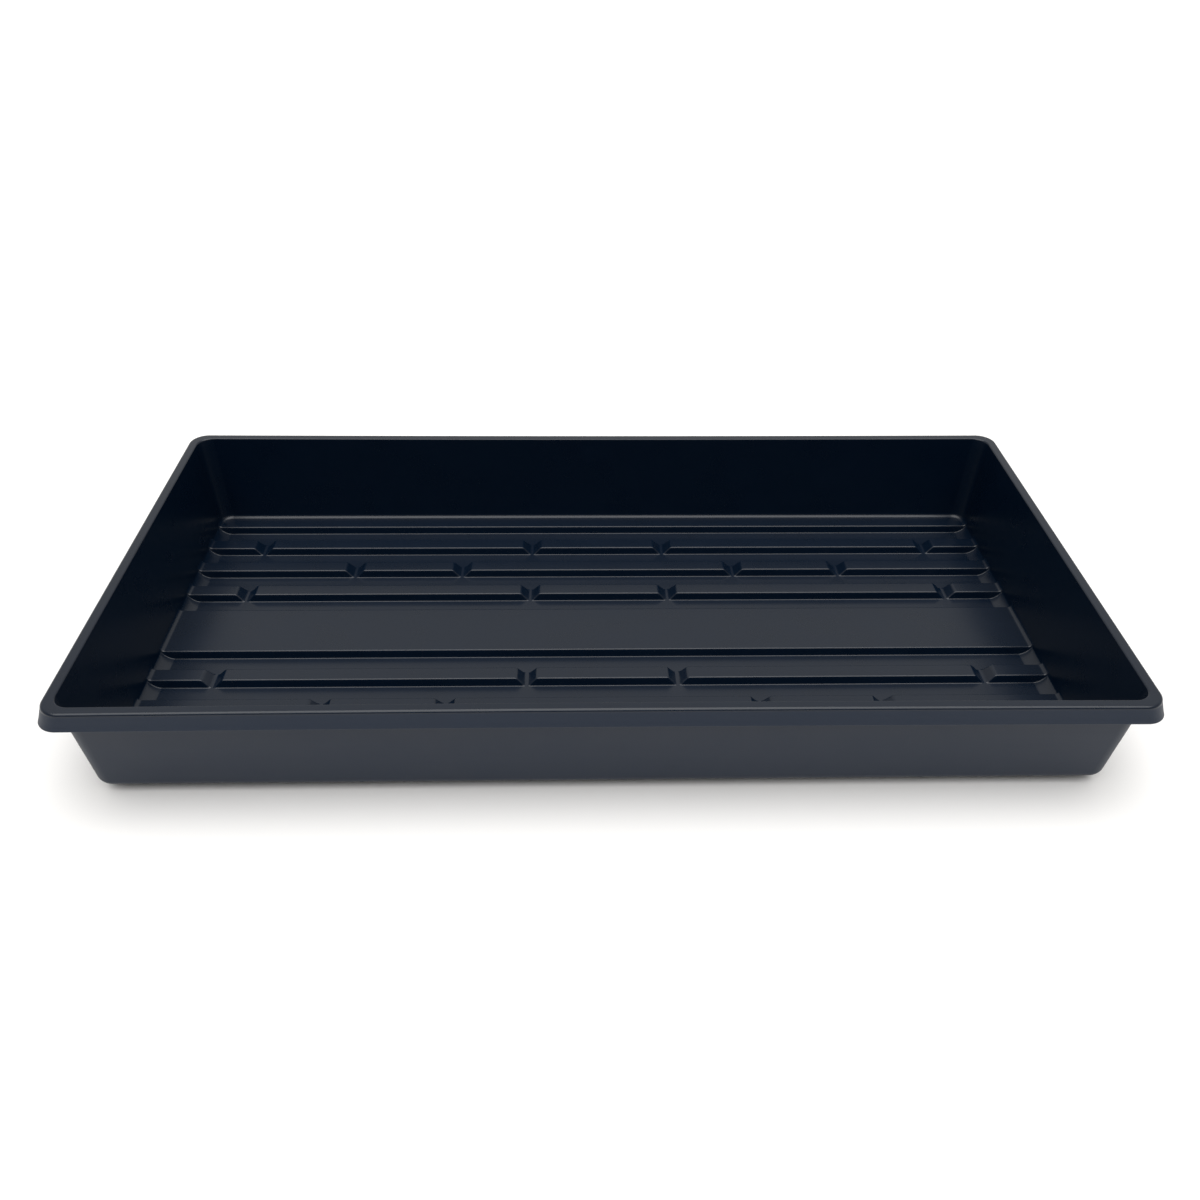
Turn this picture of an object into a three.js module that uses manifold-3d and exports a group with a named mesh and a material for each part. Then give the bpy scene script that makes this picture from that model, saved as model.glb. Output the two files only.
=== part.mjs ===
// Seedling tray of the 1020 class: one shallow, open, rectangular basin moulded in one piece.
// Millimetres, +Z up. X runs along the tray's length and Y across it. The origin is the middle of
// the footprint, in the plane the tray stands on.
//
// The moulding is a skin of one thickness. Its floor has a plain raised band along the middle and
// rows of drain channels pressed down on both sides of it, so each groove seen from above is a
// foot seen from below. The channels are joined to each other by V shaped cross notches. The walls
// lean out, turn over into a flat rim, and the rim ends in a skirt that hangs down outside.

import * as THREE from "three";
import { mergeVertices } from "three/addons/utils/BufferGeometryUtils.js";
import Module from "manifold-3d";

// ---------------------------------------------------------------- driving sizes
const overallLength = 544;        // X, over the skirt
const overallWidth = 284;         // Y, over the skirt
const overallHeight = 64;         // Z, channel bottoms to rim top
const skin = 1.1;                 // thickness of the moulding

const rimWidth = 7.9;             // skirt's lower edge to the basin's wall, seen from above
const rimCornerRadius = 11.3;     // plan radius of the rim and of its skirt
const rimOuterEdgeRadius = 1.6;   // rim top to skirt
const rimInnerEdgeRadius = 0.8;   // rim top to basin wall
const skirtHeight = 9.2;          // rim top to the skirt's lower edge
const skirtFlare = 2.5;           // how far the skirt leans out over its height

const wallDraft = 6.2;            // degrees from vertical
const wallCornerTop = 9.4;        // plan radius of the basin's corner at the rim
const wallCornerFloor = 8;        // and at the floor
const floorFillet = 2.5;          // basin wall to floor, inside
const baseEdgeRadius = 5;         // wall to base, outside

const channelDepth = 4.9;         // floor level down to the channel's bottom
const channelWidth = 16.2;        // across the channel at floor level
const channelSideRun = 1;         // how far each channel side leans in over the depth
const channelEndRadius = 10;      // the rising end of a channel, seen from the side
const ribWidth = 10;              // floor left standing between two channels
const plateauWidth = 40.4;        // plain raised band along the middle
const leastLedge = 8;             // floor kept along the long walls, at least

const notchTop = 11.6;            // cross notch, length along the rib at floor level
const notchBottom = 2;            // and at its bottom
const notchesFromMiddle = [43.5, 88.4];  // on odd ribs and on even ribs, counted from the middle
const notchesFromEnd = [36, 100.2];      // the same, measured back from the floor's end

// ---------------------------------------------------------------- sizes that follow from them
const draftSlope = Math.tan(THREE.MathUtils.degToRad(wallDraft));
const skinAcrossWall = skin / Math.cos(THREE.MathUtils.degToRad(wallDraft));
const floorTop = channelDepth + skin;
const floorUnder = channelDepth;
const basinDepth = overallHeight - floorTop;
const floorHalfLength = overallLength / 2 - rimWidth - basinDepth * draftSlope;
const floorHalfWidth = overallWidth / 2 - rimWidth - basinDepth * draftSlope;
const channelPitch = channelWidth + ribWidth;
const channelRows = Math.max(1, Math.floor(
  (floorHalfWidth - plateauWidth / 2 - leastLedge + ribWidth) / channelPitch));

// A channel's end rises on an arc that reaches the short wall's face at floor level, and above
// that it follows the wall up to where the wall's foot fillet ends.
const roundHeight = (radius) => radius * (1 - Math.sin(THREE.MathUtils.degToRad(wallDraft)));
const channelEndTop = floorTop + roundHeight(floorFillet);
const channelEndTopBelow = floorUnder + roundHeight(baseEdgeRadius);
const channelEndCentreZ = skin + channelEndRadius;
const channelFlatEnd = floorHalfLength
  - Math.sqrt(channelEndRadius ** 2 - (channelEndCentreZ - floorTop) ** 2);

// ---------------------------------------------------------------- solids
const wasm = await Module();
wasm.setup();

function solid(geometry) {
  const bare = geometry.clone();
  bare.deleteAttribute("normal");
  bare.deleteAttribute("uv");
  const merged = mergeVertices(bare, 1e-4);
  return new wasm.Manifold(new wasm.Mesh({
    numProp: 3,
    vertProperties: new Float32Array(merged.attributes.position.array),
    triVerts: new Uint32Array(merged.index.array),
  }));
}

function toGeometry(manifold) {
  const mesh = manifold.getMesh();
  const geometry = new THREE.BufferGeometry();
  geometry.setAttribute("position", new THREE.BufferAttribute(new Float32Array(mesh.vertProperties), 3));
  geometry.setIndex(new THREE.BufferAttribute(new Uint32Array(mesh.triVerts), 1));
  return geometry;
}

// Rectangle with rounded corners, counter-clockwise, the same number of points at every size.
function roundedRectangle(halfX, halfY, radius) {
  const steps = 10;
  const points = [];
  const centres = [[1, 1, 0], [-1, 1, 90], [-1, -1, 180], [1, -1, 270]];
  for (const [sx, sy, start] of centres) {
    for (let i = 0; i <= steps; i += 1) {
      const angle = THREE.MathUtils.degToRad(start + (90 * i) / steps);
      points.push(new THREE.Vector2(
        sx * (halfX - radius) + radius * Math.cos(angle),
        sy * (halfY - radius) + radius * Math.sin(angle)));
    }
  }
  return points;
}

// Closed body through rounded rectangles stacked in Z. level: { z, inset, radius }, the inset
// being measured in from the tray's overall length and width.
function loft(levels) {
  const positions = [];
  const indices = [];
  let count = 0;
  for (const { z, inset, radius } of levels) {
    const ring = roundedRectangle(overallLength / 2 - inset, overallWidth / 2 - inset, radius);
    count = ring.length;
    for (const p of ring) positions.push(p.x, p.y, z);
  }
  for (let k = 0; k + 1 < levels.length; k += 1) {
    for (let i = 0; i < count; i += 1) {
      const a = k * count + i;
      const b = k * count + ((i + 1) % count);
      indices.push(a, b, b + count, a, b + count, a + count);
    }
  }
  const outline = roundedRectangle(overallLength / 2, overallWidth / 2, rimCornerRadius);
  const caps = THREE.ShapeUtils.triangulateShape(outline, []);
  const top = (levels.length - 1) * count;
  for (const [a, b, c] of caps) {
    indices.push(c, b, a);
    indices.push(top + a, top + b, top + c);
  }
  const geometry = new THREE.BufferGeometry();
  geometry.setAttribute("position", new THREE.Float32BufferAttribute(positions, 3));
  geometry.setIndex(indices);
  return solid(geometry);
}

// Outline in X and Z, pulled along Y between two places.
function pulledAlongY(outline, y0, y1) {
  const geometry = new THREE.ExtrudeGeometry(new THREE.Shape(outline), { depth: y1 - y0, bevelEnabled: false });
  geometry.rotateX(Math.PI / 2);
  geometry.translate(0, y1, 0);
  return solid(geometry);
}

// Outline in Y and Z, pulled along X to both sides of the middle.
function pulledAlongX(outline, halfLength) {
  const geometry = new THREE.ExtrudeGeometry(
    new THREE.Shape(outline), { depth: 2 * halfLength, bevelEnabled: false });
  geometry.rotateX(Math.PI / 2);
  geometry.rotateZ(Math.PI / 2);
  geometry.translate(-halfLength, 0, 0);
  return solid(geometry);
}

// ---------------------------------------------------------------- the wall's two faces
// Both faces lean by the same draft, one skin apart. shift is 0 inside and one skin outside.
const wallInset = (z, shift) => rimWidth + (overallHeight - z) * draftSlope - shift * skinAcrossWall;
const wallCorner = (z, shift) => {
  const share = THREE.MathUtils.clamp((overallHeight - z) / basinDepth, 0, 1);
  return THREE.MathUtils.lerp(wallCornerTop, wallCornerFloor, share) + shift * skin;
};

// Levels of the round that joins the wall to the flat at level z0, from the flat upwards.
function footRound(z0, radius, shift) {
  const lean = THREE.MathUtils.degToRad(90 - wallDraft);
  const back = radius * Math.tan(lean / 2);
  const levels = [];
  for (let i = 0; i <= 4; i += 1) {
    const turn = (lean * i) / 4;
    const inset = wallInset(z0, shift) + back - radius * Math.sin(turn);
    const z = z0 + radius * (1 - Math.cos(turn));
    levels.push({ z, inset, radius: wallCorner(z, shift) - (inset - wallInset(z, shift)) });
  }
  return levels;
}

function wallFace(shift, foot, topZ) {
  const levels = foot > 0
    ? footRound(shift ? floorUnder : floorTop, foot, shift)
    : [{ z: -1, inset: wallInset(-1, shift), radius: wallCorner(0, shift) }];
  levels.push({ z: topZ, inset: wallInset(topZ, shift), radius: wallCorner(topZ, shift) });
  return levels;
}

// The basin's inside, opened a little at the rim by the rim's inner edge round.
const mouth = wallFace(0, floorFillet, overallHeight - rimInnerEdgeRadius);
for (let i = 1; i <= 3; i += 1) {
  const turn = (Math.PI / 2) * (i / 3);
  const z = overallHeight - rimInnerEdgeRadius * (1 - Math.sin(turn));
  const inset = wallInset(overallHeight - rimInnerEdgeRadius, 0) - rimInnerEdgeRadius * (1 - Math.cos(turn));
  mouth.push({ z, inset, radius: wallCornerTop + 0.3 * i });
}
mouth.push({ ...mouth[mouth.length - 1], z: overallHeight + 1 });

const basinInside = loft(mouth);
const basinOutside = loft(wallFace(1, baseEdgeRadius, overallHeight - skin / 2));
const insideLimit = loft(wallFace(0, 0, channelEndTop + 2));
const outsideLimit = loft(wallFace(1, 0, channelEndTopBelow + 2));

// ---------------------------------------------------------------- rim and skirt
const skirtInset = (z) => skirtFlare * (1 - (overallHeight - z) / skirtHeight);
const rimLevels = [];
for (const z of [overallHeight - skirtHeight, overallHeight - rimOuterEdgeRadius]) {
  rimLevels.push({ z, inset: skirtInset(z), radius: rimCornerRadius });
}
for (let i = 1; i <= 4; i += 1) {
  const turn = (Math.PI / 2) * (i / 4);
  const turnedIn = rimOuterEdgeRadius * (1 - Math.cos(turn));
  const inset = skirtInset(overallHeight - rimOuterEdgeRadius) + turnedIn;
  const z = overallHeight - rimOuterEdgeRadius * (1 - Math.sin(turn));
  rimLevels.push({ z, inset, radius: rimCornerRadius - turnedIn });
}
const rimBlock = loft(rimLevels);
const skirtHollow = loft([overallHeight - skirtHeight - 1, overallHeight - skin].map((z) => ({
  z, inset: skirtInset(z) + skin, radius: rimCornerRadius - skin,
})));

// ---------------------------------------------------------------- channels and cross notches
// Side view of a channel: flat bottom, both ends rising on an arc. out is 0 for the groove's own
// face and one skin for the face below it, on the same centres.
function channelSideView(out, topZ) {
  const radius = channelEndRadius + out;
  const sweep = Math.acos((channelEndCentreZ - topZ) / radius);
  const right = [];
  for (let i = 0; i <= 8; i += 1) {
    const turn = (sweep * i) / 8;
    right.push([channelFlatEnd + radius * Math.sin(turn), channelEndCentreZ - radius * Math.cos(turn)]);
  }
  const left = right.map(([x, z]) => [-x, z]).reverse();
  return [...left, ...right].map(([x, z]) => new THREE.Vector2(x, z));
}

// End view of a channel or front view of a notch: half width at height z for sides of a given
// lean, moved out by one skin for the face below.
function trapezium(centre, halfTop, lean, bottomZ, topZ, out) {
  const grow = out * Math.sqrt(1 + lean * lean);
  const half = (z) => halfTop - (floorTop - z) * lean + grow;
  return [
    new THREE.Vector2(centre - half(bottomZ), bottomZ),
    new THREE.Vector2(centre + half(bottomZ), bottomZ),
    new THREE.Vector2(centre + half(topZ), topZ),
    new THREE.Vector2(centre - half(topZ), topZ),
  ];
}

// Everything pressed down from the floor, for the upper face (out = 0) or the lower (out = skin).
function pressedFloor(out) {
  const bottomZ = out ? 0 : skin;
  const topZ = out ? channelEndTopBelow : channelEndTop;
  const limit = out ? outsideLimit : insideLimit;
  const sideView = channelSideView(out, topZ);
  const channelLean = channelSideRun / channelDepth;
  const notchLean = (notchTop - notchBottom) / 2 / channelDepth;
  const pieces = [];
  for (const side of [-1, 1]) {
    for (let row = 0; row < channelRows; row += 1) {
      const y = side * (plateauWidth / 2 + channelWidth / 2 + row * channelPitch);
      const section = trapezium(y, channelWidth / 2, channelLean, bottomZ, topZ, out);
      const long = pulledAlongX(section, overallLength);
      const reach = channelWidth + 2 * skin;
      pieces.push(pulledAlongY(sideView, y - reach, y + reach).intersect(long).intersect(limit));
      if (row + 1 < channelRows) {
        const rib = y + side * (channelPitch / 2);
        const across = ribWidth / 2 + channelSideRun + 1;
        const kind = row % 2;
        for (const place of [notchesFromMiddle[kind], floorHalfLength - notchesFromEnd[kind]]) {
          for (const end of [-1, 1]) {
            const x = end * place;
            const front = trapezium(x, notchTop / 2, notchLean, bottomZ, floorTop + (out ? -skin : 1), out);
            pieces.push(pulledAlongY(front, rib - across, rib + across));
          }
        }
      }
    }
  }
  return pieces.reduce((all, piece) => all.add(piece));
}

// ---------------------------------------------------------------- the tray
const shell = rimBlock.subtract(skirtHollow)
  .add(basinOutside)
  .add(pressedFloor(skin))
  .subtract(basinInside)
  .subtract(pressedFloor(0));

const tray = new THREE.Mesh(
  toGeometry(shell),
  new THREE.MeshStandardMaterial({ color: new THREE.Color("#17181a"), roughness: 0.42, metalness: 0 }));
tray.name = "tray";

const seedlingTray = new THREE.Group();
seedlingTray.add(tray);

export default seedlingTray;
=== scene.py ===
import math

import bpy
import numpy as np
from mathutils import Matrix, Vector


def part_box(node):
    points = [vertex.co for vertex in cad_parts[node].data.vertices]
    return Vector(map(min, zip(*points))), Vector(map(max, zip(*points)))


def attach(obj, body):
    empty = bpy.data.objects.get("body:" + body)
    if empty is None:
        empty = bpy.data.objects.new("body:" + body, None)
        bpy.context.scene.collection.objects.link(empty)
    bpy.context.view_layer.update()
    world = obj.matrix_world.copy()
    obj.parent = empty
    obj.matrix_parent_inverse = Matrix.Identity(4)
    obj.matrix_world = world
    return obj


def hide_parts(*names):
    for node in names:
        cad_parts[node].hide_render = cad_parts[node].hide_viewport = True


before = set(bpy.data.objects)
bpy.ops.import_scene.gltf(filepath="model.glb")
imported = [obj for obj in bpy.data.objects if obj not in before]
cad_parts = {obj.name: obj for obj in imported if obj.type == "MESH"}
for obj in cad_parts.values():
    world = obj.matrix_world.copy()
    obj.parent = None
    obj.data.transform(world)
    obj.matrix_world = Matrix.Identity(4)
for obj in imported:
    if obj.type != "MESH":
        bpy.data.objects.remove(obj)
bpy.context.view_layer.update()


# ---------------------------------------------------------------- tray
# A seedling tray is one injection moulding in black polypropylene, a thin skin all over. Its
# floor has a plain band along the middle and rows of channels pressed down on both sides, joined
# by V notches. The walls lean out, turn over into a flat rim and end in a hanging skirt.

# Sizes are in millimetres. The overall ones come from the frame's own box.
half_length, half_width, height = (1000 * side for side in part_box("tray")[1])

skin = 1.1                 # thickness of the moulding
rim_width = 7.9            # skirt's lower edge to the basin's wall, seen from above
rim_corner = 11.3          # plan radius of the rim's and the skirt's corners
rim_outer_edge = 1.6       # round from the rim's top to the skirt
rim_inner_edge = 0.8       # round from the rim's top to the basin's wall
skirt_height = 9.2         # rim's top down to the skirt's lower edge
skirt_flare = 2.5          # how far the skirt leans out over its height
skirt_lip = 0.5            # round along both sides of the skirt's lower edge
hollow_round = 0.6         # round from inside the skirt to the rim's underside
hollow_joint = 0.5         # bend from the rim's underside to the outer wall

draft = math.radians(6.2)
wall_corner_top = 9.4      # plan radius of the basin's corners at the rim
wall_corner_floor = 8.0    # and at the floor
floor_fillet = 2.5         # round from the wall to the floor, inside
base_round = 5.0           # round from the wall to the base, outside

channel_depth = 4.9        # floor down to the bottom of a channel
channel_width = 16.2       # across a channel at floor level
channel_side_run = 1.0     # how far a channel's side leans in over the depth
channel_end_round = 10.0   # arc that a channel rises on at its ends
rib_width = 10.0           # floor left standing between two channels
plateau_width = 40.4       # plain band along the middle
least_ledge = 8.0          # least floor between the last channel and the long wall
notch_top = 11.6           # length of a cross notch at floor level
notch_bottom = 2.0         # and at its bottom
notch_overrun = 2.0        # how far a notch runs on past its rib into the channels

# Places of the notches along the tray, for the first pattern and for the second.
notches_from_middle = (43.5, 88.4)
notches_from_end = (36.0, 100.2)

press_top_round = 0.8      # edges where channels and notches leave the floor
press_bottom_round = 0.55  # edges where their sides meet their bottoms
long_side_bow = 1.2        # how far the long sides draw in at mid length

floor_top = channel_depth + skin
floor_half_length = half_length - rim_width - (height - floor_top) * math.tan(draft)
floor_half_width = half_width - rim_width - (height - floor_top) * math.tan(draft)
channel_pitch = channel_width + rib_width
rows = int((floor_half_width - plateau_width / 2 - least_ledge + rib_width) // channel_pitch)
channel_lean = channel_side_run / channel_depth
notch_side_run = (notch_top - notch_bottom) / 2
notch_lean = notch_side_run / channel_depth

# The arc at a channel's end reaches the short wall's face at floor level.
channel_end_cut = channel_end_round - math.sqrt(channel_depth * (2 * channel_end_round - channel_depth))

channels = [plateau_width / 2 + channel_width / 2 + row * channel_pitch for row in range(rows)]
notches = []
for row in range(rows - 1):
    middle, end = notches_from_middle[row % 2], notches_from_end[row % 2]
    for along in (middle, floor_half_length - end):
        notches.append((along, channels[row] + channel_pitch / 2))


def wall_half(half, z, out):
    """Half of the tray's length or width between the walls' faces at height z."""
    return half - rim_width - (height - z) * math.tan(draft) + out / math.cos(draft)


def wall_corner(z, out):
    """Plan radius of the basin's corner at height z."""
    share = np.clip((height - z) / (height - floor_top), 0, 1)
    return wall_corner_top + (wall_corner_floor - wall_corner_top) * share + out


def both(a, b, radius):
    """Room that is in a and in b, with its inner corner rounded."""
    corner = radius - np.hypot(np.maximum(radius - a, 0), np.maximum(radius - b, 0))
    return np.where(np.maximum(a, b) < radius, corner, np.minimum(a, b))


def either(a, b, radius):
    """Room that is in a or in b, with the edge between them rounded."""
    return -both(-a, -b, radius)


def room(x, y, z, out, foot):
    """How far a point is inside the room above one face of the skin: above zero is inside.

    out is 0 for the upper face and one skin for the lower. foot is the round at the wall's foot.
    """
    x, y = np.abs(x), np.abs(y)
    corner = wall_corner(z, out)
    past_x = x - wall_half(half_length, z, out) + corner
    past_y = y - wall_half(half_width, z, out) + corner
    outside = np.hypot(np.maximum(past_x, 0), np.maximum(past_y, 0))
    wall = (corner - outside - np.minimum(np.maximum(past_x, past_y), 0)) * math.cos(draft)

    above_floor = z - (floor_top - out)
    basin = both(above_floor, wall, foot)

    # The channels' and notches' sides, one skin further out on the lower face.
    across = np.full(np.shape(x), -np.inf)
    for middle in channels:
        half = channel_width / 2 - (floor_top - z) * channel_lean
        gap = (half - np.abs(y - middle)) / math.hypot(1, channel_lean) + out
        across = np.maximum(across, gap)
    for along, rib in notches:
        half = notch_top / 2 - (floor_top - z) * notch_lean
        gap = (half - np.abs(x - along)) / math.hypot(1, notch_lean) + out
        reach = rib_width / 2 + channel_side_run + notch_overrun - np.abs(y - rib)
        across = either(across, np.minimum(gap, reach), press_top_round)

    # Channel floors, rising at both ends on an arc that runs out on the short walls.
    rise = both(z - (skin - out), wall + channel_end_cut, channel_end_round + out)
    pressed = both(np.minimum(rise, wall), across, press_bottom_round + 0.5 * out)

    # The edges' round is whole up to 0.5 mm above the floor and almost gone 1 mm higher, since a
    # channel's end runs out on the wall without an edge.
    edge = press_top_round * np.clip(1.5 - above_floor, 0.02, 1)
    return either(basin, pressed, edge)


def face_heights(x, y, out, foot):
    """Height of one face of the skin over points of the floor, by halving the interval.

    The interval reaches 1 mm below the base and 2 mm above the round at the wall's foot.
    """
    low = np.full(x.shape, -1.0)
    high = np.full(x.shape, floor_top + foot + 2)
    for _ in range(32):
        middle = (low + high) / 2
        inside = room(x, y, middle, out, foot) > 0
        high = np.where(inside, middle, high)
        low = np.where(inside, low, middle)
    return (low + high) / 2


def side_lines(half_top, run, steps, out):
    """Grid lines across one pressed side, out from its middle: edge round, slope and foot round.

    The numbers in the two lists are shares of the round that the lines lie on.
    """
    slant = math.hypot(1, run / channel_depth)
    top = half_top + out * (slant - run / channel_depth)
    above = top + press_top_round * slant * np.array([1.05, 0.75, 0.5, 0.25])
    slope = top - run * np.linspace(0, 1, steps)
    foot = min((press_bottom_round + 0.5 * out) * slant, 0.9 * (top - run))
    below = top - run - foot * np.array([0.12, 0.28, 0.5, 0.75, 1.05])
    return np.concatenate([above, slope, below])


def grid_lines(middles, half_top, run, steps, half, corner, foot, out):
    """All grid lines along one direction: every pressed side, then closer and closer to the wall."""
    offsets = side_lines(half_top, run, steps, out)
    lines = [0.0]
    for middle in middles:
        lines.append(middle)
        lines.extend(middle + offsets)
        lines.extend(middle - offsets)
    fillet = foot * (1 - np.cos(np.linspace(0, math.pi / 2, 10)))
    flat = np.linspace(foot, corner, 13)[1:]
    lines.extend(half - np.concatenate([fillet, flat]))
    lines = np.array(lines)
    return np.sort(np.concatenate([-lines[lines > 0], lines]))


def face_grid(out, foot):
    """Points over one face of the skin's floor, out to where the wall's straight face begins."""
    top = floor_top - out + foot
    half_x, half_y = wall_half(half_length, top, out), wall_half(half_width, top, out)
    corner = wall_corner(top, out)

    # The first four notches are those of both patterns.
    stations = sorted(along for along, rib in notches[:4])
    xs = grid_lines(stations, notch_top / 2, notch_side_run, 13, half_x, corner, foot, out)
    ys = grid_lines(channels, channel_width / 2, channel_side_run, 5, half_y, corner, foot, out)
    x, y = np.meshgrid(xs, ys, indexing="ij")

    # The square at each corner is bent to a quarter disc.
    past_x, past_y = np.abs(x) - half_x + corner, np.abs(y) - half_y + corner
    bent = (past_x > 0) & (past_y > 0)
    reach = np.where(bent, np.maximum(past_x, past_y), 1)
    turn = np.where(bent, math.pi / 4 * np.minimum(past_x, past_y) / reach, 0)
    turn = np.where(past_x >= past_y, turn, math.pi / 2 - turn)
    x = np.where(bent, np.sign(x) * (half_x - corner + reach * np.cos(turn)), x)
    y = np.where(bent, np.sign(y) * (half_y - corner + reach * np.sin(turn)), y)
    return x, y, face_heights(x, y, out, foot), (half_x, half_y, corner)


def outline(grid):
    """Indices of a grid's border points, counter-clockwise from above."""
    index = np.arange(grid.size).reshape(grid.shape)
    return np.concatenate([index[:-1, 0], index[-1, :-1], index[:0:-1, -1], index[0, :0:-1]])


def spread(x, y, halves):
    """Border points as shares of the straight sides, and their direction out of the corner."""
    half_x, half_y, corner = halves
    core_x = np.clip(x, corner - half_x, half_x - corner)
    core_y = np.clip(y, corner - half_y, half_y - corner)
    shares = np.stack([core_x / (half_x - corner), core_y / (half_y - corner)], 1)
    away = np.stack([x - core_x, y - core_y], 1) / corner
    return shares, away


def arc(centre, turn_from, turn_to, radius, corner, steps):
    """Rounded stretch of the wall's profile as rings of (inset, z, plan radius of the corner).

    corner is the plan radius of a ring as far in as the arc's centre.
    """
    inset, z = centre
    rings = []
    for turn in np.radians(np.linspace(turn_from, turn_to, steps)):
        away = radius * math.cos(turn)
        rings.append((inset + away, z + radius * math.sin(turn), corner - away))
    return rings


def skirt_inset(z):
    """How far the skirt's outside stands in from its lower edge at height z."""
    return skirt_flare * (1 - (height - z) / skirt_height)


def wall_profile():
    """Rings from the basin's foot up its wall, over the rim, down the skirt and back to the base.

    Each ring is (inset from the overall size, z, plan radius of the corner).
    """
    rings = []
    mouth = height - rim_inner_edge
    for z in np.linspace(floor_top + floor_fillet, mouth, 9)[1:]:
        rings.append((half_length - wall_half(half_length, z, 0), z, wall_corner(z, 0)))
    inset, z, corner = rings[-1]
    rings += arc((inset - rim_inner_edge, z), 0, 90, rim_inner_edge, corner, 5)[1:]

    shoulder = height - rim_outer_edge
    rings += arc((skirt_inset(shoulder) + rim_outer_edge, shoulder), 90, 180, rim_outer_edge,
                 rim_corner - rim_outer_edge, 9)
    lip = height - skirt_height + skirt_lip
    for z in np.linspace(shoulder, lip, 5)[1:-1]:
        rings.append((skirt_inset(z), z, rim_corner))
    rings += arc((skirt_lip, lip), 180, 270, skirt_lip, rim_corner - skirt_lip, 4)
    rings += arc((skin - skirt_lip, lip), 270, 360, skirt_lip, rim_corner - skin + skirt_lip, 4)

    # Inside the skirt and back along the rim's underside to the outer wall.
    under = height - skin
    below = under - 2 * hollow_round
    rings.append((skirt_inset(below) + skin, below, rim_corner - skin))
    hollow = skirt_inset(under - hollow_round) + skin
    rings += arc((hollow + hollow_round, under - hollow_round), 180, 90, hollow_round,
                 rim_corner - skin - hollow_round, 4)
    wall_top = under - hollow_joint
    outer = half_length - wall_half(half_length, wall_top, skin)
    bend = 0.3 * hollow_joint
    rings.append((outer - hollow_joint, under, wall_corner_top + skin))
    rings.append((outer - bend, under - bend, wall_corner_top + skin))
    for z in np.linspace(wall_top, floor_top - skin + base_round, 10)[:-1]:
        rings.append((half_length - wall_half(half_length, z, skin), z, wall_corner(z, skin)))
    return rings


def skirt_ring(profile):
    """Number of the profile's first ring on the skirt, 0.01 mm or more below the rim's edge round."""
    shoulder = height - rim_outer_edge - 0.01
    on_skirt = [inset < skirt_flare and z < shoulder for inset, z, corner in profile]
    return on_skirt.index(True)


def grid_faces(shape, first, up):
    """Quads over a grid of points whose first point has the index given."""
    index = np.arange(shape[0] * shape[1]).reshape(shape) + first
    quads = np.stack([index[:-1, :-1], index[1:, :-1], index[1:, 1:], index[:-1, 1:]], -1).reshape(-1, 4)
    return quads if up else quads[:, ::-1]


def tray_mesh():
    """The whole skin as one closed mesh of quads: upper floor face, walls and rim, lower face.

    Gives the points, the quads, and which quads are on the outside, from the skirt on.
    """
    x0, y0, z0, halves0 = face_grid(0.0, floor_fillet)
    x1, y1, z1, halves1 = face_grid(skin, base_round)
    border0, border1 = outline(x0), outline(x1)
    shares0, away0 = spread(x0.ravel()[border0], y0.ravel()[border0], halves0)
    shares1, away1 = spread(x1.ravel()[border1], y1.ravel()[border1], halves1)

    # Over the middle third of the rings the points pass from the upper grid's spacing to the
    # lower grid's.
    points = [np.stack([x0, y0, z0], -1).reshape(-1, 3)]
    profile = wall_profile()
    for number, (inset, z, corner) in enumerate(profile):
        blend = np.clip(number / len(profile) * 3 - 1, 0, 1)
        shares = shares0 + (shares1 - shares0) * blend
        away = away0 + (away1 - away0) * blend
        away /= np.linalg.norm(away, axis=1)[:, None]
        core = np.array([half_length - inset - corner, half_width - inset - corner])
        ring = shares * core + away * corner
        points.append(np.column_stack([ring, np.full(len(ring), z)]))
    points.append(np.stack([x1, y1, z1], -1).reshape(-1, 3))

    around = len(border0)
    after = x0.size + len(profile) * around
    rings = [border0]
    for number in range(len(profile)):
        rings.append(x0.size + number * around + np.arange(around))
    rings.append(after + border1)
    faces = [grid_faces(x0.shape, 0, True)]
    for lower, upper in zip(rings, rings[1:]):
        faces.append(np.stack([np.roll(lower, -1), lower, upper, np.roll(upper, -1)], -1))
    faces.append(grid_faces(x1.shape, after, False))
    inside = len(faces[0]) + skirt_ring(profile) * around
    faces = np.concatenate(faces)
    return np.concatenate(points), faces, np.arange(len(faces)) >= inside


points, faces, outside = tray_mesh()

# A moulding this long draws in a little along its long sides as it cools, most at the rim.
raised = np.clip((points[:, 2] - floor_top) / (height - floor_top), 0, 1) ** 1.5
points[:, 1] -= np.sign(points[:, 1]) * long_side_bow * raised * (1 - (points[:, 0] / half_length) ** 2)

mesh = bpy.data.meshes.new("tray_moulding")
mesh.from_pydata((points / 1000).tolist(), [], faces.tolist())
mesh.validate()
mesh.polygons.foreach_set("use_smooth", np.ones(len(mesh.polygons), bool))

# Each point's normal follows its larger faces, so flats stay flat and only the rounds shade.
corners = points[faces]
spans = np.cross(corners[:, 2] - corners[:, 0], corners[:, 3] - corners[:, 1])
normals = np.zeros_like(points)
for side in range(4):
    np.add.at(normals, faces[:, side], spans)
normals /= np.linalg.norm(normals, axis=1)[:, None]
mesh.normals_split_custom_set_from_vertices(normals.tolist())

tray = bpy.data.objects.new("tray_moulding", mesh)
bpy.context.scene.collection.objects.link(tray)


def linear(colour):
    """An sRGB hex colour as linear red, green, blue and alpha."""
    values = [int(colour[i:i + 2], 16) / 255 for i in (1, 3, 5)]
    return [v / 12.92 if v <= 0.04045 else ((v + 0.055) / 1.055) ** 2.4 for v in values] + [1.0]


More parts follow.
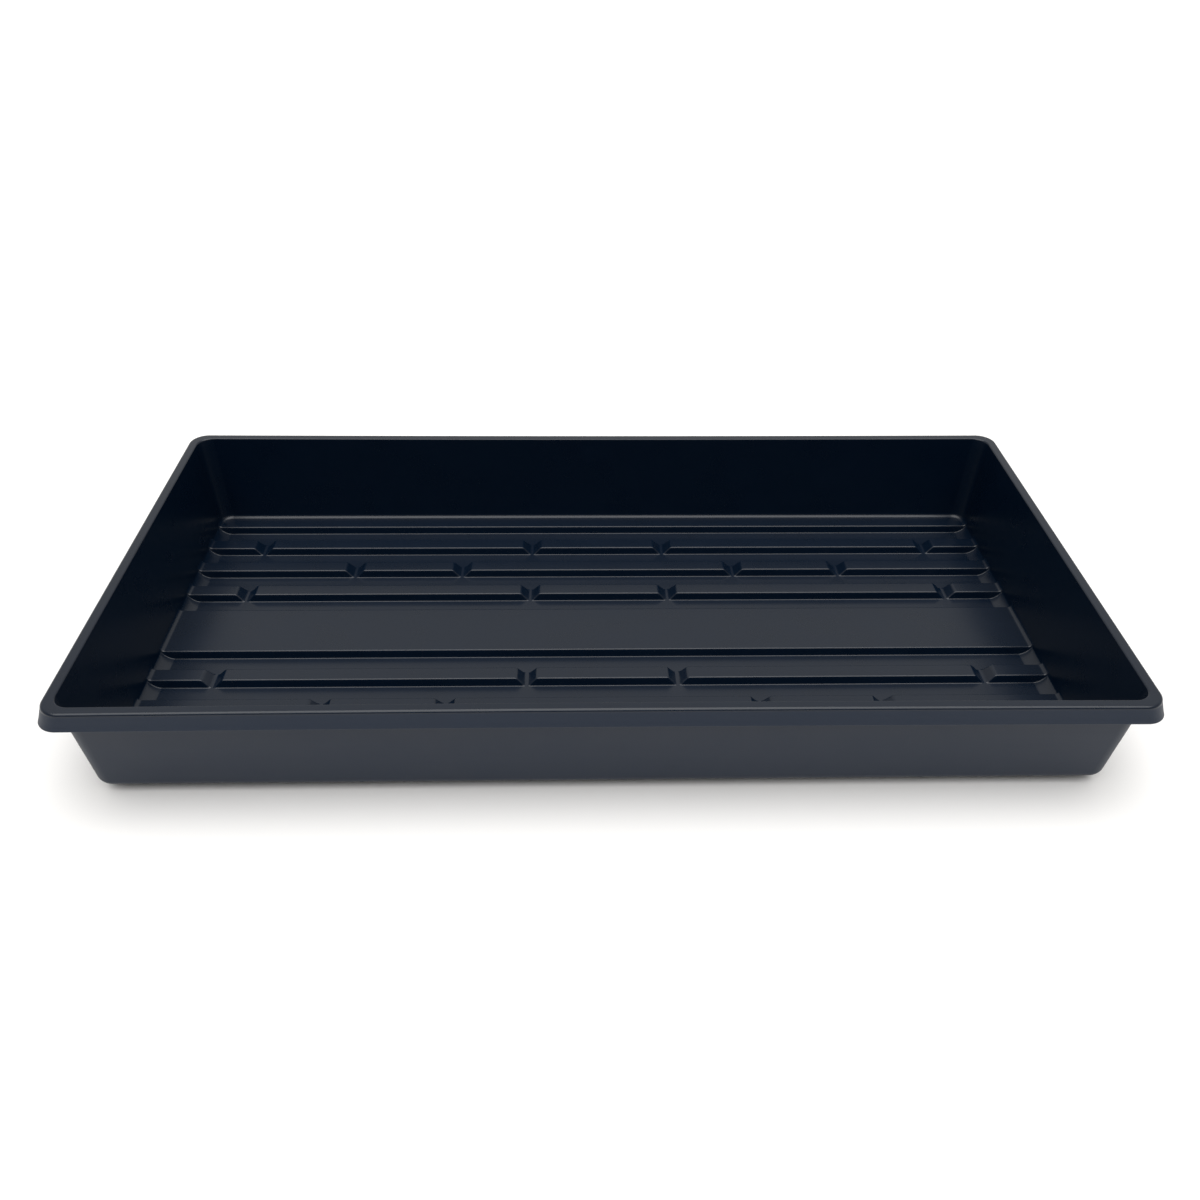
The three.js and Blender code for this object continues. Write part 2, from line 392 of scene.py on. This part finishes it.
def add_node(owner, kind, settings=None, links=None, **properties):
    """Adds a node, sets its properties and inputs, and links other nodes' outputs to its inputs."""
    node = owner.node_tree.nodes.new(kind)
    for name, value in properties.items():
        setattr(node, name, value)
    for name, value in (settings or {}).items():
        node.inputs[name].default_value = value
    for name, source in (links or {}).items():
        owner.node_tree.links.new(source, node.inputs[name])
    return node


def relief(material, place, size, detail, depth, strength, under=None):
    """Adds relief to a material and gives its normal. Its size and depth are in millimetres."""
    noise = add_node(material, "ShaderNodeTexNoise", {"Scale": 1000 / size, "Detail": detail},
                     {"Vector": place})
    links = {"Height": noise.outputs["Fac"]}
    if under is not None:
        links["Normal"] = under
    bump = add_node(material, "ShaderNodeBump", {"Strength": strength, "Distance": depth / 1000}, links)
    return bump.outputs["Normal"]


def black_plastic(material, place, normal, patch_size, tones, roughness):
    """Finishes a plastic over its relief, with patches that pass between two tones and two sheens."""
    patches = add_node(material, "ShaderNodeTexNoise", {"Scale": 1000 / patch_size, "Detail": 4.0},
                       {"Vector": place})
    tone = add_node(material, "ShaderNodeMix", {"A": linear(tones[0]), "B": linear(tones[1])},
                    {"Factor": patches.outputs["Fac"]}, data_type="RGBA")
    sheen = add_node(material, "ShaderNodeMapRange", {"To Min": roughness[0], "To Max": roughness[1]},
                     {"Value": patches.outputs["Fac"]})
    shader = add_node(material, "ShaderNodeBsdfPrincipled", {"IOR": 1.49},
                      {"Base Color": tone.outputs["Result"], "Roughness": sheen.outputs["Result"],
                       "Normal": normal})
    add_node(material, "ShaderNodeOutputMaterial", None, {"Surface": shader.outputs["BSDF"]})


# The inside and the rim are moulded against a steel half ground to a satin finish. It gives a soft,
# even sheen, with faint waves where the plastic flowed and patches that shine a little more or less.
# The real grain is about a tenth of a millimetre, too fine to show, and is drawn coarser.
satin = bpy.data.materials.new("polypropylene_black_satin")
satin.use_nodes = True
satin.node_tree.nodes.clear()
place = add_node(satin, "ShaderNodeTexCoord").outputs["Object"]
waves = relief(satin, place, size=45, detail=1.0, depth=0.6, strength=0.25)
grain = relief(satin, place, size=0.9, detail=2.0, depth=0.06, strength=0.12, under=waves)
black_plastic(satin, place, grain, patch_size=20, tones=("#010f1f", "#021224"), roughness=(0.25, 0.31))
mesh.materials.append(satin)

# The outside, from the skirt on, is moulded against the other half, which is blasted with grit. It
# looks duller and a shade lighter, with level flow waves about eight times longer than high. Its
# grain is drawn coarser too.
blasted = bpy.data.materials.new("polypropylene_black_blasted")
blasted.use_nodes = True
blasted.node_tree.nodes.clear()
place = add_node(blasted, "ShaderNodeTexCoord").outputs["Object"]
level = add_node(blasted, "ShaderNodeMapping", {"Scale": (0.12, 0.12, 1.0)}, {"Vector": place})
waves = relief(blasted, level.outputs["Vector"], size=14, detail=2.0, depth=0.5, strength=0.3)
grain = relief(blasted, place, size=0.7, detail=3.0, depth=0.06, strength=0.2, under=waves)
black_plastic(blasted, place, grain, patch_size=30, tones=("#03162a", "#05192e"), roughness=(0.46, 0.56))
mesh.materials.append(blasted)
mesh.polygons.foreach_set("material_index", outside.astype(np.int32))

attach(tray, "root")
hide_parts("tray")


# ---------------------------------------------------------------- floor
# A plain sheet of pale paper that the tray stands on, 6 m out each way to fill the view. Its
# uncoated matte face gives no sheen, only the tray's soft shadow.
floor_mesh = bpy.data.meshes.new("floor")
reach = 6.0
floor_mesh.from_pydata([(-reach, -reach, 0), (reach, -reach, 0), (reach, reach, 0), (-reach, reach, 0)],
                       [], [(0, 1, 2, 3)])
floor = bpy.data.objects.new("floor", floor_mesh)
bpy.context.scene.collection.objects.link(floor)
paper = bpy.data.materials.new("paper_matte")
paper.use_nodes = True
paper.node_tree.nodes.clear()
sheet = add_node(paper, "ShaderNodeBsdfDiffuse", {"Color": linear("#f5f4f3")})
add_node(paper, "ShaderNodeOutputMaterial", None, {"Surface": sheet.outputs["BSDF"]})
floor_mesh.materials.append(paper)


# ---------------------------------------------------------------- light
# A white room, dimmer on the near side, gives the plastic its even sheen. One very broad soft
# light overhead, a little to the front, draws the bright lines along the rounded edges and whitens
# the floor.
near_strength, far_strength = 0.1, 0.74
world = bpy.data.worlds.new("white_room")
world.use_nodes = True
toward = add_node(world, "ShaderNodeTexCoord").outputs["Generated"]
split = add_node(world, "ShaderNodeSeparateXYZ", None, {"Vector": toward})
fade = add_node(world, "ShaderNodeMapRange",
                {"From Min": -1.0, "From Max": 1.0, "To Min": near_strength, "To Max": far_strength},
                {"Value": split.outputs["Y"]})
room_light = world.node_tree.nodes["Background"]
room_light.inputs["Color"].default_value = linear("#fffdf8")
world.node_tree.links.new(fade.outputs["Result"], room_light.inputs["Strength"])
bpy.context.scene.world = world

overhead = bpy.data.lights.new("overhead_soft_light", "SUN")
overhead.energy = 3.1
overhead.angle = math.radians(74)
overhead_lamp = bpy.data.objects.new("overhead_soft_light", overhead)
overhead_lamp.rotation_euler = (math.radians(12), 0, 0)
bpy.context.scene.collection.objects.link(overhead_lamp)


# ---------------------------------------------------------------- camera
# Stands in front of one long side and looks down into the basin.
camera_data = bpy.data.cameras.new("camera")
camera_data.sensor_width = 36.0
camera_data.lens = 33.2
camera = bpy.data.objects.new("camera", camera_data)
bpy.context.scene.collection.objects.link(camera)
pitch, yaw, roll = math.radians(36.09), math.radians(-2.07), math.radians(0.98)
eye = (-0.0198, -0.5313, 0.4148)
camera.matrix_world = (
    Matrix.Translation(eye)
    @ Matrix.Rotation(yaw, 4, "Z")
    @ Matrix.Rotation(math.pi / 2 - pitch, 4, "X")
    @ Matrix.Rotation(roll, 4, "Z")
)
bpy.context.scene.camera = camera
bpy.context.scene.view_settings.view_transform = "Standard"
